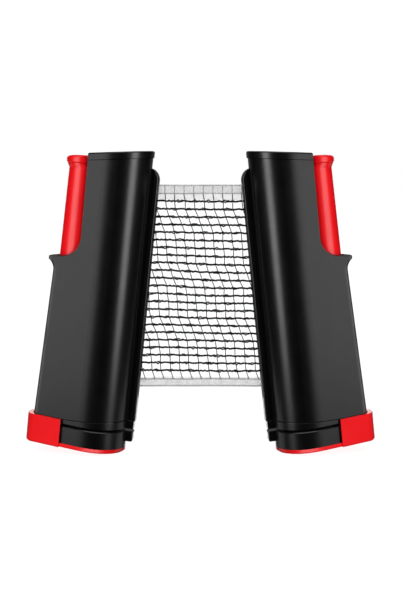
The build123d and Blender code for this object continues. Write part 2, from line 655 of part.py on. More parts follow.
def make_post(side, name):
    """All the pieces that both posts have."""
    post = post_plane(side)
    blank = body_blank(post)
    ring = local_ring(SCREW_RING, SCREW_ANGLES)
    jaw_ring = local_ring(JAW_SCREW_RING, (0, 120, 240))
    make_housing(f"{name}_housing", post, blank)
    make_top_cap(f"{name}_top_cap", post)
    make_base_cap(f"{name}_base_cap", post, blank)
    make_net_rail(f"{name}_net_rail", post)
    make_pad(f"{name}_upper_pad", post, BODY_FOOT - PAD_PROUD)
    base_seats = [(x, y, BODY_FOOT + SCREW_HEAD + 0.4) for x, y in ring]
    cap_seats = [(x, y, cap_screw_seat(x)) for x, y in ring]
    make_screws(f"{name}_base_screws", post, base_seats, False, BODY_SCREW_LENGTH)
    make_screws(f"{name}_cap_screws", post, cap_seats, True, CAP_SCREW_LENGTH)
    bush = tube(at(post, COLUMN_X, 0, BODY_FOOT + 0.3), BUSH_R, ROD_R + RUNNING_GAP, BUSH_TOP - BODY_FOOT)
    finish(bush, f"{name}_rod_bush")
    make_push_column(f"{name}_push_column", post)
    make_spring_seat(f"{name}_spring_seat", post)
    make_slide_rod(f"{name}_slide_rod", post)
    spring_top = SEAT_LOW - SPRING_WIRE_R - FIXED_GAP
    make_coil(
        f"{name}_clamp_spring", post, COLUMN_X, SPRING_LOW, spring_top, SPRING_R, SPRING_WIRE_R, SPRING_TURNS
    )
    make_jaw_shell(f"{name}_jaw_shell", post)
    make_jaw_block(f"{name}_jaw_block", post)
    make_pad(f"{name}_jaw_pad", post, BLOCK_TOP - PAD_POCKET)
    jaw_seats = [(x, y, SCREW_HEAD + 0.4) for x, y in jaw_ring]
    make_screws(f"{name}_jaw_screws", post, jaw_seats, False, JAW_SCREW_LENGTH)
    make_screws(f"{name}_rod_screw", post, [(COLUMN_X, 0, SCREW_HEAD + 0.4)], False, JAW_SCREW_LENGTH)
    return post


def make_core(prefix, post, wound_name, wound_r):
    """Net core with its two ends, its axle and the net wound on it."""
    core = tube(at(post, 0, 0, CORE_LOW), CORE_R, CORE_BORE_R, CORE_HIGH - CORE_LOW)
    finish(core, f"{prefix}_core")
    make_flange(f"{prefix}_lower_flange", post, CORE_LOW, 1)
    make_flange(f"{prefix}_upper_flange", post, CORE_HIGH, -1)
    wound = tube(at(post, 0, 0, ROLL_LOW), wound_r, CORE_R + FIXED_GAP, ROLL_HIGH - ROLL_LOW)
    finish(wound, wound_name)
    with BuildPart() as axle:
        with BuildSketch(at(post, 0, 0, AXLE_LOW)):
            Circle(AXLE_R)
        extrude(amount=AXLE_HIGH - AXLE_LOW)
        chamfer(axle.edges().filter_by(GeomType.CIRCLE), length=0.3)
    finish(axle.part, f"{prefix}_axle")


def make_roller_inside(post):
    """Pieces only the left post has: washers, power spring and its anchor collar."""
    with BuildPart() as washers:
        for low in (CORE_LOW - FLANGE_THICK - WASHER_THICK - 0.1, CORE_HIGH + FLANGE_THICK + 0.1):
            with BuildSketch(at(post, 0, 0, low)):
                Circle(BOSS_R)
                Circle(AXLE_R + RUNNING_GAP, mode=Mode.SUBTRACT)
            extrude(amount=WASHER_THICK)
    finish(washers.part, "roller_washers")
    collar_low = CORE_HIGH - 2 * HUB_LENGTH
    collar = tube(at(post, 0, 0, collar_low), CORE_BORE_R - 0.4, AXLE_R + FIXED_GAP, 6.0)
    finish(collar, "spring_anchor")
    low = CORE_LOW + HUB_LENGTH + POWER_WIRE_R + 0.1
    high = collar_low - POWER_WIRE_R - 0.1
    make_coil("power_spring", post, 0, low, high, POWER_SPRING_R, POWER_WIRE_R, POWER_TURNS)


left_post = make_post(-1, "left")
right_post = make_post(1, "right")
make_core("roller", left_post, "net_roll", ROLL_R)
make_roller_inside(left_post)
make_core("anchor", right_post, "net_hem", HEM_R)
make_net_band("net_mesh", left_post, right_post, BOTTOM_TAPE_HIGH, TOP_TAPE_LOW, NET_THICK)
make_net_band("net_top_tape", left_post, right_post, TOP_TAPE_LOW, NET_TOP, TAPE_THICK)
make_net_band("net_bottom_tape", left_post, right_post, NET_LOW, BOTTOM_TAPE_HIGH, TAPE_THICK)
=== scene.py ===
import json
import math
import random

import bpy
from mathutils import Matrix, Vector

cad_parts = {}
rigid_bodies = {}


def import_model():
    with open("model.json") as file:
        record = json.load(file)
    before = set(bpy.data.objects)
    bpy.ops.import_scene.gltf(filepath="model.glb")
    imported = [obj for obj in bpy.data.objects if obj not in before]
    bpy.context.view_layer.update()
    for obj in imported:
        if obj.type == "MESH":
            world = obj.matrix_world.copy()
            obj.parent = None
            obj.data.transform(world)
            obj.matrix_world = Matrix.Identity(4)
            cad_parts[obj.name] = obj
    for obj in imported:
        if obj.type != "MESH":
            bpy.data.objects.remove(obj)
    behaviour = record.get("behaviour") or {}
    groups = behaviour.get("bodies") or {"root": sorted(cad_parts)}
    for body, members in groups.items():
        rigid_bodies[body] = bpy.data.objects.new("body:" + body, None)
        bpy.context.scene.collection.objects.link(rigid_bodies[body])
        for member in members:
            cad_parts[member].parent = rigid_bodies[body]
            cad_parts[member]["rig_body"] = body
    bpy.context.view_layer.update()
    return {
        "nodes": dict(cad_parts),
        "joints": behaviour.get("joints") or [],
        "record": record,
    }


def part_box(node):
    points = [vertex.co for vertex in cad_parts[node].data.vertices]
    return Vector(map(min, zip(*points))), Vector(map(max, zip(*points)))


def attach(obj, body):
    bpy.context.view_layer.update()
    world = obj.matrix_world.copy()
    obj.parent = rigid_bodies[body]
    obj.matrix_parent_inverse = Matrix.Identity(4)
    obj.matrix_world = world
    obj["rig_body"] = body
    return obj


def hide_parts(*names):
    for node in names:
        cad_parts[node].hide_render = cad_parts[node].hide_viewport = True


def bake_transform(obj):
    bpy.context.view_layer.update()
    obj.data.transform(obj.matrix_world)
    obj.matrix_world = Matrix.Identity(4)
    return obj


# Retractable table tennis net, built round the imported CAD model. Metres, row frame:
# +X along the net, +Y to the back, +Z up.

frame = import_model()
nodes = frame["nodes"]
joints = {joint["name"]: joint for joint in frame["joints"]}
mounts = {mount["name"]: mount for mount in frame["record"]["mounts"]}
MM = 0.001
FULL_EXTENSION = joints["net_extension"]["range_m"][1]
NET_Y = (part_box("net_mesh")[0].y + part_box("net_mesh")[1].y) / 2

# ---- Camera --------------------------------------------------------------------
CAMERA_DISTANCE = 0.880       # from the net's plane
CAMERA_HEIGHT = 0.2292
CAMERA_PITCH = 7.3
CAMERA_LENS = 70.0


def make_camera():
    data = bpy.data.cameras.new("camera")
    data.lens = CAMERA_LENS
    data.sensor_width = 36.0
    data.clip_start = 0.01
    data.clip_end = 100.0
    camera = bpy.data.objects.new("camera", data)
    camera.location = (0.0, NET_Y - CAMERA_DISTANCE, CAMERA_HEIGHT)
    camera.rotation_euler = (math.radians(90.0 - CAMERA_PITCH), 0.0, 0.0)
    bpy.context.scene.collection.objects.link(camera)
    bpy.context.scene.camera = camera


make_camera()

# ---- Where each post stands ----------------------------------------------------


class Post:
    """One post's own frame: origin on the roller axis at the foot, x to the net, z up."""

    def __init__(self, name):
        self.name = name
        self.origin = Vector(mounts[f"{name}_foot"]["pos_m"])
        self.up = -Vector(joints[f"{name}_clamp"]["axis"]).normalized()
        self.x = Vector(mounts[f"{name}_clamp_mouth"]["axis"]).normalized()
        self.y = self.up.cross(self.x)

    def point(self, x, y, z):
        """Row-frame point from local millimetres."""
        return self.origin + (self.x * x + self.y * y + self.up * z) * MM

    def on_net_plane(self, x, height):
        """Point of the net's plane at local x (mm) and at a world height (m)."""
        start = self.point(x, 0, 0)
        point = start + self.up * ((height - start.z) / self.up.z)
        return Vector((point.x, NET_Y, height))


left_post = Post("left")
right_post = Post("right")

# ---- Materials -----------------------------------------------------------------


class Shader:
    """Small helper to write node materials; coordinates are object space in metres."""

    def __init__(self, name):
        self.material = bpy.data.materials.new(name)
        self.material.use_nodes = True
        self.tree = self.material.node_tree
        self.bsdf = self.tree.nodes["Principled BSDF"]
        self.coords = self.node("ShaderNodeTexCoord").outputs["Object"]

    def node(self, kind, **values):
        made = self.tree.nodes.new(kind)
        for key, value in values.items():
            setattr(made, key, value)
        return made

    def link(self, source, target):
        self.tree.links.new(source, target)

    def set(self, **values):
        for key, value in values.items():
            self.bsdf.inputs[key.replace("_", " ")].default_value = value

    def noise(self, scale, detail=2.0, roughness=0.5, vector=None):
        made = self.node("ShaderNodeTexNoise")
        made.inputs["Scale"].default_value = scale
        made.inputs["Detail"].default_value = detail
        made.inputs["Roughness"].default_value = roughness
        self.link(vector or self.coords, made.inputs["Vector"])
        return made.outputs["Fac"]

    def stretched(self, scale):
        """Object coordinates, stretched along each axis."""
        made = self.node("ShaderNodeMapping")
        made.inputs["Scale"].default_value = scale
        self.link(self.coords, made.inputs["Vector"])
        return made.outputs["Vector"]

    def ramp(self, source, low, high, start=0.35, end=0.65):
        """Colour or grey that runs from low to high as source runs from start to end."""
        made = self.node("ShaderNodeValToRGB")
        made.color_ramp.elements[0].position = start
        made.color_ramp.elements[0].color = as_colour(low)
        made.color_ramp.elements[1].position = end
        made.color_ramp.elements[1].color = as_colour(high)
        self.link(source, made.inputs["Fac"])
        return made.outputs["Color"]

    def math(self, operation, first, second):
        made = self.node("ShaderNodeMath", operation=operation)
        for value, socket in ((first, made.inputs[0]), (second, made.inputs[1])):
            if isinstance(value, (int, float)):
                socket.default_value = value
            else:
                self.link(value, socket)
        return made.outputs[0]

    def bump(self, height, strength, distance, under=None):
        made = self.node("ShaderNodeBump")
        made.inputs["Strength"].default_value = strength
        made.inputs["Distance"].default_value = distance
        self.link(height, made.inputs["Height"])
        if under is not None:
            self.link(under, made.inputs["Normal"])
        return made.outputs["Normal"]


def as_colour(value):
    if isinstance(value, (int, float)):
        return (value, value, value, 1.0)
    return (value[0], value[1], value[2], 1.0)


def moulded_plastic(name, dark, light, rough_low, rough_high, grain):
    """Injection moulded plastic: slow colour drift, uneven gloss, fine spark grain."""
    shader = Shader(name)
    drift = shader.noise(35.0, 3.0)
    shader.link(shader.ramp(drift, dark, light), shader.bsdf.inputs["Base Color"])
    haze = shader.noise(120.0, 4.0, 0.6)
    shader.link(shader.ramp(haze, rough_low, rough_high), shader.bsdf.inputs["Roughness"])
    fine = shader.bump(shader.noise(5200.0, 1.0), grain, 0.00002)
    waves = shader.bump(shader.noise(45.0, 1.0), 0.006, 0.0003, under=fine)
    shader.link(waves, shader.bsdf.inputs["Normal"])
    shader.set(IOR=1.5)
    return shader.material


def rubber_material():
    shader = Shader("rubber")
    shader.link(shader.ramp(shader.noise(300.0, 4.0), 0.018, 0.035), shader.bsdf.inputs["Base Color"])
    shader.link(shader.ramp(shader.noise(900.0, 3.0), 0.62, 0.85), shader.bsdf.inputs["Roughness"])
    shader.link(shader.bump(shader.noise(2600.0, 2.0), 0.35, 0.00006), shader.bsdf.inputs["Normal"])
    return shader.material


def metal_material(name, dark, light, rough_low, rough_high):
    """Drawn or turned steel with fine streaks."""
    shader = Shader(name)
    streaks = shader.noise(1.0, 3.0, 0.6, vector=shader.stretched((2600.0, 2600.0, 160.0)))
    shader.link(shader.ramp(streaks, dark, light), shader.bsdf.inputs["Base Color"])
    shader.link(shader.ramp(streaks, rough_low, rough_high), shader.bsdf.inputs["Roughness"])
    shader.link(shader.bump(streaks, 0.2, 0.00002), shader.bsdf.inputs["Normal"])
    shader.set(Metallic=1.0)
    return shader.material


def thread_material(name, dark, light, rough, gloss):
    """Spun nylon: fibres run along the thread and catch the light unevenly."""
    shader = Shader(name)
    fibres = shader.noise(3800.0, 3.0, 0.7)
    shader.link(shader.ramp(fibres, dark, light, 0.3, 0.75), shader.bsdf.inputs["Base Color"])
    shader.link(shader.ramp(fibres, rough, rough + 0.2), shader.bsdf.inputs["Roughness"])
    shader.link(shader.bump(fibres, 0.5, 0.00008), shader.bsdf.inputs["Normal"])
    shader.set(Specular_IOR_Level=gloss)
    return shader.material


def tape_material():
    """Thin see-through woven tape: fine warp and weft, a little cloudiness."""
    shader = Shader("tape_cloth")
    across = shader.node("ShaderNodeTexWave", wave_type="BANDS", bands_direction="X")
    along = shader.node("ShaderNodeTexWave", wave_type="BANDS", bands_direction="Z")
    for wave in (across, along):
        wave.inputs["Scale"].default_value = 420.0
        wave.inputs["Distortion"].default_value = 0.8
        shader.link(shader.coords, wave.inputs["Vector"])
    weave = shader.math("MULTIPLY", across.outputs["Fac"], along.outputs["Fac"])
    cloud = shader.noise(160.0, 3.0)
    shader.link(shader.ramp(cloud, 0.34, 0.52), shader.bsdf.inputs["Base Color"])
    shader.link(shader.bump(weave, 0.5, 0.0001), shader.bsdf.inputs["Normal"])
    thickness = shader.math("ADD", shader.math("MULTIPLY", weave, 0.12), shader.math("MULTIPLY", cloud, 0.32))
    shader.link(thickness, shader.bsdf.inputs["Alpha"])
    shader.set(Roughness=0.8, Sheen_Weight=0.2, Sheen_Roughness=0.5)
    return shader.material


MATERIALS = {
    "black_shell": moulded_plastic("black_abs", 0.0012, 0.0024, 0.285, 0.315, 0.03),
    "black_inner": moulded_plastic("black_inner_plastic", 0.012, 0.020, 0.45, 0.60, 0.20),
    "red_shell": moulded_plastic("red_abs", (0.88, 0.004, 0.008), (0.93, 0.006, 0.011), 0.32, 0.36, 0.015),
    "rubber": rubber_material(),
    "steel": metal_material("zinc_steel", 0.55, 0.68, 0.22, 0.36),
    "spring_steel": metal_material("spring_wire", 0.32, 0.45, 0.28, 0.42),
    "net_cord": thread_material("net_thread", 0.0008, 0.003, 0.75, 0.12),
    "net_tape": tape_material(),
}
STITCH = thread_material("tape_stitch", (0.20, 0.205, 0.21), (0.34, 0.345, 0.35), 0.7, 0.3)


def paint_cad_nodes():
    """Every carried-over CAD node takes the finish of its material slot."""
    slots = {entry["node"]: entry["material_slot"] for entry in frame["record"]["subparts"]}
    for name, node in nodes.items():
        node.data.materials.clear()
        node.data.materials.append(MATERIALS[slots[name]])


paint_cad_nodes()

# ---- Mesh building -------------------------------------------------------------


def make_object(name, vertices, faces, material):
    mesh = bpy.data.meshes.new(name)
    mesh.from_pydata([tuple(v) for v in vertices], [], faces)
    mesh.validate()
    mesh.update()
    for polygon in mesh.polygons:
        polygon.use_smooth = True
    mesh.materials.append(material)
    made = bpy.data.objects.new(name, mesh)
    bpy.context.scene.collection.objects.link(made)
    return made


def add_tube(vertices, faces, path, radius, sides):
    """Adds a round tube with closed ends along a path."""
    first = len(vertices)
    count = len(path)
    side = Vector((0, 1, 0))
    for index, centre in enumerate(path):
        ahead = path[min(index + 1, count - 1)]
        behind = path[max(index - 1, 0)]
        along = (ahead - behind).normalized()
        side = (side - along * side.dot(along)).normalized()
        other = along.cross(side)
        for corner in range(sides):
            angle = 2 * math.pi * corner / sides
            vertices.append(centre + (side * math.cos(angle) + other * math.sin(angle)) * radius)
    for index in range(count - 1):
        for corner in range(sides):
            a = first + index * sides + corner
            b = first + index * sides + (corner + 1) % sides
            faces.append((a, b, b + sides, a + sides))
    faces.append(tuple(first + corner for corner in reversed(range(sides))))
    last = first + (count - 1) * sides
    faces.append(tuple(last + corner for corner in range(sides)))


# ---- The net -------------------------------------------------------------------
# The stretch between the posts rides the right post. The rest of the net is laid out as
# if it were drawn right out of the left post, then packed into a short reserve behind the
# net slot, at the places from which a blend between the posts would let it out again as they
# move apart. The reserve stands in for unwinding, so its cloth is far denser than a real net at rest.
ROWS = 23
ROW_FIRST = 191.9 * MM
ROW_LAST = 62.6 * MM
MESH_WIDTH = 7.2 * MM         # between vertical threads
STRAND_R = 0.54 * MM
STRAND_OFFSET = 0.42 * MM
TWIST_PITCH = 3.6 * MM
STEP = 0.55 * MM
VERTICAL_R = 0.34 * MM
RESERVE_ROW_R = 0.62 * MM
RESERVE_IN = -3.0             # local x of the reserve's inner end
NET_LEFT = 27.0               # local x where the drawn net starts, inside the slot
NET_RIGHT = 7.6               # local x where it meets the hem in the right post
TOP_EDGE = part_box("net_top_tape")[1].z
TOP_STITCH = 197.6 * MM
TOP_TAPE_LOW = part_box("net_top_tape")[0].z
BOTTOM_TAPE_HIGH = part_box("net_bottom_tape")[1].z
BOTTOM_STITCH = 55.9 * MM
BOTTOM_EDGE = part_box("net_bottom_tape")[0].z
SIDE_COLUMNS = 4              # extra columns, since the vertical threads lean out of the span

random.seed(11)
# Soft waves that a row may follow: size, turn per metre and phase. row_height uses three.
WAVES = [
    (random.uniform(0.5, 1.0), random.uniform(28, 75), random.uniform(0, 6.28))
    for _ in range(6)
]


def row_height(row, x):
    """Height of a net row: evenly spaced, dipping to the right and softly wavy."""
    share = row / (ROWS - 1)
    base = ROW_FIRST + (ROW_LAST - ROW_FIRST) * share
    middle = math.sin(math.pi * min(1.0, share * 1.05))
    dip = -1.5 * MM * (0.5 + 0.5 * math.tanh(x / 0.022)) * (0.25 + 0.75 * middle)
    rise = 0.7 * MM * math.exp(-((x + 0.030) / 0.016) ** 2) * middle
    wave = sum(a * math.sin(x * k + p + row * 0.55) for a, k, p in WAVES[:3]) * 0.16 * MM
    return base + dip + rise + wave


def net_depth(x, z):
    """Slack net: it leaves its plane by a fraction of a millimetre."""
    return NET_Y + 0.35 * MM * math.sin(x * 62.0 + z * 38.0) + 0.25 * MM * math.sin(z * 95.0 + 1.7)


def row_span(height):
    """Left and right end of the net that shows, at a height."""
    left = left_post.on_net_plane(NET_LEFT, height).x
    right = right_post.on_net_plane(NET_RIGHT, height).x
    return left, right


def reserve_span(height):
    """The same for the net that is wound up at rest, as it lies when drawn out."""
    inner = left_post.on_net_plane(RESERVE_IN, height).x
    outer = left_post.on_net_plane(NET_LEFT, height).x
    return inner - FULL_EXTENSION + 0.5 * MM, outer


def packed_x(x, height):
    """Where a point of the drawn-out net lies at rest. Its place in the reserve is the
    one that the blend between the posts takes back to x at full extension."""
    inner = left_post.on_net_plane(RESERVE_IN, height).x
    outer = left_post.on_net_plane(NET_LEFT, height).x
    low, high = 0.0, 1.0
    for _ in range(40):
        middle = (low + high) / 2
        weight = middle * middle * (3 - 2 * middle)
        if inner + (outer - inner) * middle - FULL_EXTENSION * (1 - weight) < x:
            low = middle
        else:
            high = middle
    return inner + (outer - inner) * low


def pack(vertices):
    for vertex in vertices:
        vertex.x = packed_x(vertex.x, vertex.z)


def ride_reserve(piece):
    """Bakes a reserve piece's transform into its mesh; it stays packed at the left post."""
    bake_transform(piece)


def build_rows(vertices, faces):
    """Twisted two-ply cords, one for each row of the net."""
    for row in range(ROWS):
        left, right = row_span(row_height(row, 0.0))
        count = int((right - left) / STEP)
        phase = random.uniform(0, 2 * math.pi)
        jitter = [random.uniform(0.6, 1.45) for _ in range(8)]
        for strand in range(2):
            path = []
            angle = phase + strand * math.pi
            for index in range(count + 1):
                x = left + (right - left) * index / count
                pace = jitter[int((x - left) / 0.009) % len(jitter)]
                angle += 2 * math.pi * STEP / TWIST_PITCH * pace
                eyelet = max(0.0, math.sin(x * 430.0 + row * 2.1 + phase + 2.0 * math.sin(x * 95.0 + row)))
                spread = STRAND_OFFSET * (0.75 + 1.4 * eyelet ** 4)
                bump = 0.26 * MM * math.sin(x * 1350.0 + 3.0 * math.sin(x * 310.0 + row * 1.7) + phase)
                height = row_height(row, x) + bump + spread * math.sin(angle)
                path.append(Vector((x, net_depth(x, height) + 0.8 * spread * math.cos(angle), height)))
            add_tube(vertices, faces, path, STRAND_R, 6)


def build_reserve_rows(vertices, faces):
    """The rows of the wound net, one plain cord each, as they lie when drawn out."""
    for row in range(ROWS):
        far, near = reserve_span(row_height(row, 0.0))
        count = int((near - far) / MESH_WIDTH)
        path = []
        for index in range(count + 1):
            x = near + (far - near) * index / count
            height = row_height(row, x)
            path.append(Vector((x, net_depth(x, height), height)))
        add_tube(vertices, faces, path, RESERVE_ROW_R, 5)


def build_verticals(vertices, faces, span, first, last, fine):
    """Thin threads from tape to tape, from one column to another; they lean and are
    caught by every row. Only what lies inside the span is made."""
    levels = [TOP_STITCH]
    levels += [ROW_FIRST + (ROW_LAST - ROW_FIRST) * row / (ROWS - 1) for row in range(ROWS)]
    levels += [BOTTOM_STITCH]
    origin = row_span(BOTTOM_EDGE)[0]
    for column in range(first, last):
        start = origin + column * MESH_WIDTH
        slack = [random.uniform(-0.45, 0.45) * MM for _ in levels]
        path = []
        for level, height in enumerate(levels):
            x = start + zigzag(level) + slack[level]
            left, right = span(height)
            z = height
            if 1 <= level <= ROWS:
                z = row_height(level - 1, x)
            if left + 0.5 * MM < x < right - 0.5 * MM:
                path.append(Vector((x, net_depth(x, z), z)))
                continue
            add_thread(vertices, faces, path, fine)
            path = []
        add_thread(vertices, faces, path, fine)


def zigzag(level):
    """Sideways drift of a vertical thread at a level: runs that lean, then stand up."""
    drift = 0.0
    for step in range(level):
        drift += MESH_WIDTH * (0.30 if (step + 5) % 7 < 3 else 0.06)
    return drift


def add_thread(vertices, faces, path, fine):
    """Thread through knots: straight between rows, with a small wrap at each row."""
    if len(path) < 2:
        return
    if not fine:
        add_tube(vertices, faces, path, VERTICAL_R, 4)
        return
    points = []
    for index in range(len(path) - 1):
        start, end = path[index], path[index + 1]
        for part in range(4):
            share = part / 4
            wrap = math.sin(math.pi * 2 * share) * 0.18 * MM
            points.append(start.lerp(end, share) + Vector((0, wrap, 0)))
    points.append(path[-1])
    add_tube(vertices, faces, points, VERTICAL_R, 5)


SHOWN_WIDTH = row_span(BOTTOM_EDGE)[1] - row_span(BOTTOM_EDGE)[0]
SHOWN_COLUMNS = int(SHOWN_WIDTH / MESH_WIDTH) + SIDE_COLUMNS
STORED_COLUMNS = int(FULL_EXTENSION / MESH_WIDTH) + 12
net_vertices, net_faces = [], []
build_rows(net_vertices, net_faces)
build_verticals(net_vertices, net_faces, row_span, -SIDE_COLUMNS, SHOWN_COLUMNS, True)
net = make_object("net_threads", net_vertices, net_faces, MATERIALS["net_cord"])
store_vertices, store_faces = [], []
build_reserve_rows(store_vertices, store_faces)
build_verticals(store_vertices, store_faces, reserve_span, -STORED_COLUMNS, SIDE_COLUMNS, False)
pack(store_vertices)
net_reserve = make_object("net_reserve", store_vertices, store_faces, MATERIALS["net_cord"])


# ---- Tapes ---------------------------------------------------------------------
TAPE_THICK = 0.22 * MM        # one layer of the cloth
TAPE_GAP = 0.95 * MM          # between the middles of the front and back layers
TAPE_STEP = 1.6 * MM
TAPE_WAVE = 0.3 * MM          # of a free edge
STITCH_PITCH = 2.4 * MM
STITCH_LENGTH = 2.0 * MM
STITCH_R = 0.30 * MM
EDGE_STITCH_R = 0.26 * MM
EDGE_SEAM = 0.9 * MM          # from the folded edge to its seam
RESERVE_STITCH_R = 0.18 * MM


def tape_depth(x, z):
    return net_depth(x, z) + 0.12 * MM * math.sin(x * 190.0) * math.sin(z * 260.0 + 0.6)


def edge_wave(x, size):
    return size * (math.sin(x * 95.0) * 0.6 + math.sin(x * 213.0 + 1.1) * 0.4)


def folded_section(fold, front, back):
    """(depth, height, normal depth, normal height) up the front, round the fold and
    down the back: fold, front and back are the heights of the folded and free edges."""
    away = 1 if fold > front else -1
    rows = max(4, int(abs(fold - back) / (1.3 * MM)))
    half = TAPE_GAP / 2
    turn = fold - away * half
    points = []
    for row in range(rows):
        points.append((-half, front + (turn - front) * row / rows, -1, 0))
    for part in range(7):
        angle = math.pi * part / 6
        y, z = -math.cos(angle), away * math.sin(angle)
        points.append((half * y, turn + half * z, y, z))
    for row in range(rows):
        points.append((half, turn + (back - turn) * (row + 1) / rows, 1, 0))
    return points


def make_tape(name, fold, front, back, wave, span, step):
    """Strip of cloth folded over an edge of the net, as a thin closed layer."""
    section = folded_section(fold, front, back)
    loop = [(y + ny * TAPE_THICK / 2, z + nz * TAPE_THICK / 2) for y, z, ny, nz in section]
    loop += [(y - ny * TAPE_THICK / 2, z - nz * TAPE_THICK / 2) for y, z, ny, nz in reversed(section)]
    size = len(loop)
    left_low, right_low = span(fold)
    columns = int((right_low - left_low) / step)
    vertices, faces = [], []
    for column in range(columns + 1):
        for y, z in loop:
            left, right = span(z)
            x = left + (right - left) * column / columns
            height = z + edge_wave(x + (0.03 if y > 0 else 0), wave) * (z - fold) / (back - fold)
            vertices.append(Vector((x, y + tape_depth(x, z), height)))
    for column in range(columns):
        for corner in range(size):
            a = column * size + corner
            b = column * size + (corner + 1) % size
            faces.append((a, a + size, b + size, b))
    for corner in range(size // 2 - 1):
        a, b = corner, size - 1 - corner
        faces.append((a, a + 1, b - 1, b))
        a += columns * size
        b += columns * size
        faces.append((a, b, b - 1, a + 1))
    if span is reserve_span:
        pack(vertices)
    return make_object(name, vertices, faces, MATERIALS["net_tape"])


TOP_FRONT = TOP_STITCH - 0.8 * MM
BOTTOM_FRONT = BOTTOM_STITCH + 0.8 * MM
TOP_TAPE = (TOP_EDGE, TOP_FRONT, TOP_TAPE_LOW, TAPE_WAVE)
BOTTOM_TAPE = (BOTTOM_EDGE, BOTTOM_FRONT, BOTTOM_TAPE_HIGH, TAPE_WAVE)
top_tape = make_tape("top_tape_cloth", *TOP_TAPE, row_span, TAPE_STEP)
bottom_tape = make_tape("bottom_tape_cloth", *BOTTOM_TAPE, row_span, TAPE_STEP)
top_reserve = make_tape("top_tape_reserve", *TOP_TAPE, reserve_span, MESH_WIDTH)
bottom_reserve = make_tape("bottom_tape_reserve", *BOTTOM_TAPE, reserve_span, MESH_WIDTH)


def make_stitches(name, height, size):
    """Row of lock stitches along a tape, on its front and back."""
    vertices, faces = [], []
    left, right = row_span(height)
    count = int((right - left) / STITCH_PITCH)
    for side in (-1, 1):
        for index in range(count):
            start = left + (right - left) * index / count
            path = []
            for part in range(5):
                share = part / 4
                x = start + STITCH_LENGTH * share
                z = height + edge_wave(x, 0.15 * MM) + (share - 0.5) * 0.25 * MM
                lift = TAPE_GAP / 2 + size * math.sin(math.pi * share)
                path.append(Vector((x, tape_depth(x, z) + side * lift, z)))
            add_tube(vertices, faces, path, size, 5)
    return make_object(name, vertices, faces, STITCH)


def make_tape_threads():
    """Ends of the vertical threads, sewn in between the layers of the top tape."""
    vertices, faces = [], []
    origin = row_span(BOTTOM_EDGE)[0]
    for column in range(-SIDE_COLUMNS, SHOWN_COLUMNS):
        x = origin + column * MESH_WIDTH
        left, right = row_span(TOP_STITCH)
        if not left + 1.5 * MM < x < right - 1.5 * MM:
            continue
        path = []
        for part in range(5):
            z = TOP_STITCH + (TOP_EDGE - 1.2 * MM - TOP_STITCH) * part / 4
            path.append(Vector((x + 0.2 * MM * math.sin(2.2 * part + column), tape_depth(x, z), z)))
        add_tube(vertices, faces, path, VERTICAL_R, 6)
    return make_object("tape_threads", vertices, faces, STITCH)


top_stitches = make_stitches("top_tape_stitches", TOP_STITCH, STITCH_R)
top_edge_stitches = make_stitches("top_edge_stitches", TOP_EDGE - EDGE_SEAM, EDGE_STITCH_R)
bottom_stitches = make_stitches("bottom_tape_stitches", BOTTOM_STITCH, STITCH_R)
bottom_edge_stitches = make_stitches("bottom_edge_stitches", BOTTOM_EDGE + EDGE_SEAM, EDGE_STITCH_R)


def make_reserve_stitches():
    """The seams of the wound tapes, front and back, one thin thread each."""
    vertices, faces = [], []
    for height in (TOP_STITCH, TOP_EDGE - EDGE_SEAM, BOTTOM_STITCH, BOTTOM_EDGE + EDGE_SEAM):
        far, near = reserve_span(height)
        count = int((near - far) / (MESH_WIDTH / 2))
        for side in (-1, 1):
            path = []
            for index in range(count + 1):
                x = near + (far - near) * index / count
                lift = TAPE_GAP / 2 + 0.12 * MM * (1 + math.cos(math.pi * index))
                path.append(Vector((x, tape_depth(x, height) + side * lift, height)))
            add_tube(vertices, faces, path, RESERVE_STITCH_R, 4)
    pack(vertices)
    return make_object("reserve_stitches", vertices, faces, STITCH)


reserve_stitches = make_reserve_stitches()
tape_threads = make_tape_threads()
STITCHES = (tape_threads, top_stitches, top_edge_stitches, bottom_stitches, bottom_edge_stitches)
for piece in (net, top_tape, bottom_tape, *STITCHES):
    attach(piece, "right_post")
for piece in (net_reserve, top_reserve, bottom_reserve, reserve_stitches):
    ride_reserve(piece)
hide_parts("net_mesh")
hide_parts("net_top_tape")
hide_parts("net_bottom_tape")


# ---- The wound net -------------------------------------------------------------
WOUND_TURNS = 22
WOUND_IN = 6.3                # mm, radius of the first turn
WOUND_OUT = 16.5
WOUND_THREAD_R = 0.29 * MM
TURN_STEPS = 26


def local_height(height):
    """Height up the left post's axis, in mm, of a world height in metres."""
    return (height - left_post.origin.z) / left_post.up.z / MM


def wound_point(turn, height, proud=0.0):
    """Point of the roll after a number of turns, height in mm up the axis."""
    radius = WOUND_IN + (WOUND_OUT - WOUND_IN) * turn / WOUND_TURNS + proud
    angle = 2 * math.pi * turn
    return left_post.point(radius * math.cos(angle), radius * math.sin(angle), height)


def make_wound_net():
    """The net on its roller, turn on turn: its rows and its vertical threads."""
    vertices, faces = [], []
    for row in range(ROWS):
        height = local_height(ROW_FIRST + (ROW_LAST - ROW_FIRST) * row / (ROWS - 1))
        path = [wound_point(step / TURN_STEPS, height) for step in range(WOUND_TURNS * TURN_STEPS)]
        add_tube(vertices, faces, path, WOUND_THREAD_R, 4)
    turn = 0.0
    while turn < WOUND_TURNS:
        low, high = local_height(BOTTOM_EDGE), local_height(TOP_EDGE)
        path = [wound_point(turn, low + (high - low) * part / 6) for part in range(7)]
        add_tube(vertices, faces, path, WOUND_THREAD_R, 4)
        radius = WOUND_IN + (WOUND_OUT - WOUND_IN) * turn / WOUND_TURNS
        turn += MESH_WIDTH / MM / (2 * math.pi * radius)
    return make_object("wound_net", vertices, faces, MATERIALS["net_cord"])


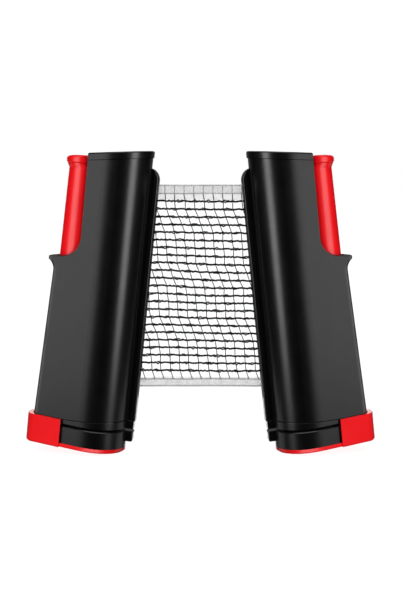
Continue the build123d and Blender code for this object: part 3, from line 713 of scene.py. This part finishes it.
def make_wound_tape(name, free, fold):
    """One tape of the wound net: a folded strip of cloth that goes round with it."""
    free, fold = local_height(free), local_height(fold)
    middle = (free + fold) / 2
    section = ((free, -0.1), (middle, -0.12), (fold, 0.0), (middle, 0.12), (free, 0.1))
    size = len(section)
    vertices, faces = [], []
    for step in range(WOUND_TURNS * TURN_STEPS):
        vertices += [wound_point(step / TURN_STEPS, height, proud) for height, proud in section]
    for step in range(WOUND_TURNS * TURN_STEPS - 1):
        for part in range(size - 1):
            a = size * step + part
            faces.append((a, a + size, a + size + 1, a + 1))
    return make_object(name, vertices, faces, MATERIALS["net_tape"])


wound_net = make_wound_net()
wound_top = make_wound_tape("wound_top_tape", TOP_TAPE_LOW, TOP_EDGE)
wound_bottom = make_wound_tape("wound_bottom_tape", BOTTOM_TAPE_HIGH, BOTTOM_EDGE)
for piece in (wound_net, wound_top, wound_bottom):
    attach(piece, "roller")
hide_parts("net_roll")

# ---- Clamp springs -------------------------------------------------------------
SPRING_COILS = 20
SPRING_WIRE_R = 0.55          # mm
CLOSED_COILS = 1.2            # at each end
COIL_STEPS = 20


def local_span(node, origin, direction):
    """Lowest and highest place of a CAD node along a direction, in mm from origin."""
    places = [(vertex.co - origin).dot(direction) / MM for vertex in nodes[node].data.vertices]
    return min(places), max(places)


def make_clamp_spring(post):
    """Coil spring with closed, flattened end turns, made once at its rest length."""
    node = f"{post.name}_clamp_spring"
    low, high = local_span(node, post.origin, post.up)
    near, far = local_span(node, post.origin, post.x)
    middle = (near + far) / 2
    radius = (far - near) / 2 - SPRING_WIRE_R
    path = []
    for step in range(SPRING_COILS * COIL_STEPS + 1):
        share = step / (SPRING_COILS * COIL_STEPS)
        closed = CLOSED_COILS / SPRING_COILS
        climb = min(1.0, max(0.0, (share - closed) / (1 - 2 * closed)))
        settled = SPRING_WIRE_R * (1 + 1.2 * min(share, closed) / closed)
        top = SPRING_WIRE_R * (1 + 1.2 * min(1 - share, closed) / closed)
        height = low + settled + (high - low - settled - top) * climb
        if climb >= 1.0:
            height = high - top
        angle = 2 * math.pi * step / COIL_STEPS
        path.append(post.point(middle + radius * math.cos(angle), radius * math.sin(angle), height))
    vertices, faces = [], []
    add_tube(vertices, faces, path, SPRING_WIRE_R * MM, 8)
    spring = make_object(f"{post.name}_spring_coil", vertices, faces, MATERIALS["spring_steel"])
    post.point(middle, 0, low)
    post.point(middle, 0, high)
    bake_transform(spring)
    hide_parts(node)


for post in (left_post, right_post):
    make_clamp_spring(post)

# ---- Studio --------------------------------------------------------------------
FLOOR_RADIUS = 4.0
FLOOR_WHITE = 0.9


def make_floor():
    """Plain round pale floor that throws nothing back at the object."""
    rings, sides = 24, 96
    vertices, faces = [Vector((0, 0, 0))], []
    for ring in range(1, rings + 1):
        radius = FLOOR_RADIUS * (ring / rings) ** 2
        for side in range(sides):
            angle = 2 * math.pi * side / sides
            vertices.append(Vector((radius * math.cos(angle), radius * math.sin(angle), 0)))
    for side in range(sides):
        faces.append((0, 1 + side, 1 + (side + 1) % sides))
    for ring in range(rings - 1):
        for side in range(sides):
            a = 1 + ring * sides + side
            b = 1 + ring * sides + (side + 1) % sides
            faces.append((a, a + sides, b + sides, b))
    shader = Shader("floor_paint")
    paint = shader.ramp(shader.noise(9.0), FLOOR_WHITE, FLOOR_WHITE + 0.01)
    shader.link(paint, shader.bsdf.inputs["Base Color"])
    shader.set(Roughness=1.0, Specular_IOR_Level=0.0)
    floor = make_object("floor", vertices, faces, shader.material)
    floor.visible_glossy = False
    floor.visible_diffuse = False
    floor.visible_shadow = False
    return floor


floor = make_floor()


def make_world():
    """White behind the object for the eye, and a dim room that is lighter at the back."""
    world = bpy.data.worlds.new("studio")
    world.use_nodes = True
    tree = world.node_tree
    tree.nodes.clear()
    out = tree.nodes.new("ShaderNodeOutputWorld")
    mix = tree.nodes.new("ShaderNodeMixShader")
    path = tree.nodes.new("ShaderNodeLightPath")
    coords = tree.nodes.new("ShaderNodeTexCoord")
    split = tree.nodes.new("ShaderNodeSeparateXYZ")
    ramp = tree.nodes.new("ShaderNodeValToRGB")
    ramp.color_ramp.elements[0].position = 0.55
    ramp.color_ramp.elements[0].color = as_colour(0.015)
    ramp.color_ramp.elements[1].position = 0.95
    ramp.color_ramp.elements[1].color = as_colour(0.24)
    room = tree.nodes.new("ShaderNodeBackground")
    white = tree.nodes.new("ShaderNodeBackground")
    white.inputs["Color"].default_value = (1, 1, 1, 1)
    tree.links.new(coords.outputs["Generated"], split.inputs[0])
    tree.links.new(split.outputs["Y"], ramp.inputs["Fac"])
    tree.links.new(ramp.outputs["Color"], room.inputs["Color"])
    tree.links.new(path.outputs["Is Camera Ray"], mix.inputs["Fac"])
    tree.links.new(room.outputs[0], mix.inputs[1])
    tree.links.new(white.outputs[0], mix.inputs[2])
    tree.links.new(mix.outputs[0], out.inputs["Surface"])
    bpy.context.scene.world = world


make_world()


def linked(name, objects, state):
    """Collection for light linking: state INCLUDE lights its objects only, EXCLUDE all others."""
    made = bpy.data.collections.new(name)
    for thing in objects:
        made.objects.link(thing)
    for entry in made.collection_objects:
        entry.light_linking.link_state = state
    return made


def nodes_of(*bodies):
    return [node for node in nodes.values() if node["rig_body"] in bodies]


LEFT_NODES = nodes_of("left_post", "left_jaw", "roller")
RIGHT_NODES = nodes_of("right_post", "right_jaw")
SUBPARTS = frame["record"]["subparts"]
RED_NODES = [nodes[part["node"]] for part in SUBPARTS if part["material_slot"] == "red_shell"]
WITHOUT_FLOOR = linked("without_floor", [floor], "EXCLUDE")
ONLY_FLOOR = linked("only_floor", [floor], "INCLUDE")
NOT_RIGHT = linked("not_right_post", {floor, *RIGHT_NODES, *RED_NODES}, "EXCLUDE")
NOT_LEFT = linked("not_left_post", {floor, *LEFT_NODES, *RED_NODES}, "EXCLUDE")
ONLY_RED = linked("only_red", RED_NODES, "INCLUDE")
LEFT_RED = linked("left_red", [node for node in RED_NODES if node in LEFT_NODES], "INCLUDE")
RIGHT_RED = linked("right_red", [node for node in RED_NODES if node in RIGHT_NODES], "INCLUDE")


PANEL_DISTANCE = 1.4
LIT_CENTRE = Vector((0, 0, 0.115))


def make_panel(name, azimuth, elevation, distance, size, radiance, lights=WITHOUT_FLOOR):
    """Soft box that looks at the middle of the object. Azimuth 0 is in front of it and
    90 at its right. It leaves the floor alone."""
    a, e = math.radians(azimuth), math.radians(elevation)
    away = Vector((math.sin(a) * math.cos(e), -math.cos(a) * math.cos(e), math.sin(e)))
    data = bpy.data.lights.new(name, "AREA")
    data.shape = "RECTANGLE"
    data.size, data.size_y = size
    data.energy = radiance * math.pi * size[0] * size[1]
    light = bpy.data.objects.new(name, data)
    light.location = LIT_CENTRE + away * distance
    light.rotation_euler = away.to_track_quat("Z", "Y").to_euler()
    light.visible_camera = False
    bpy.context.scene.collection.objects.link(light)
    light.light_linking.receiver_collection = lights


def make_floor_sun(name, radiance, spread, shadows):
    """Even light on the floor alone, with or without the object's shadow."""
    data = bpy.data.lights.new(name, "SUN")
    data.energy = radiance * math.pi / FLOOR_WHITE
    data.angle = math.radians(spread)
    light = bpy.data.objects.new(name, data)
    bpy.context.scene.collection.objects.link(light)
    light.light_linking.receiver_collection = ONLY_FLOOR
    if not shadows:
        light.light_linking.blocker_collection = ONLY_FLOOR


# Each post is lit by a strip from the net's side and a wide box from its outer side,
# so that a dark band is left between their reflections.
for name, side, lights, reds in (("left", 1, NOT_RIGHT, LEFT_RED), ("right", -1, NOT_LEFT, RIGHT_RED)):
    make_panel(f"{name}_key_panel", side * 44, 9, PANEL_DISTANCE, (0.58, 1.3), 5.8, lights)
    make_panel(f"{name}_side_panel", side * -78, 9, PANEL_DISTANCE, (2.2, 1.15), 1.9, lights)
    make_panel(f"{name}_red_panel", side * -12, 0, PANEL_DISTANCE, (1.4, 1.6), 3.3, reds)
make_panel("red_back_panel", 180, 10, PANEL_DISTANCE, (1.6, 1.4), 2.4, ONLY_RED)
make_panel("overhead_panel", 0, 75, 1.3, (1.2, 0.8), 2.2)
for direction, radiance in ((-105, 0.7), (180, 2.4), (105, 0.7)):
    make_panel(f"low_panel_{direction}", direction, -26, 1.3, (0.9, 0.42), radiance)
make_floor_sun("floor_fill", 0.90, 0, False)
make_floor_sun("floor_sky", 0.15, 150, True)
scene = bpy.context.scene
scene.view_settings.view_transform = "Standard"
scene.view_settings.look = "None"
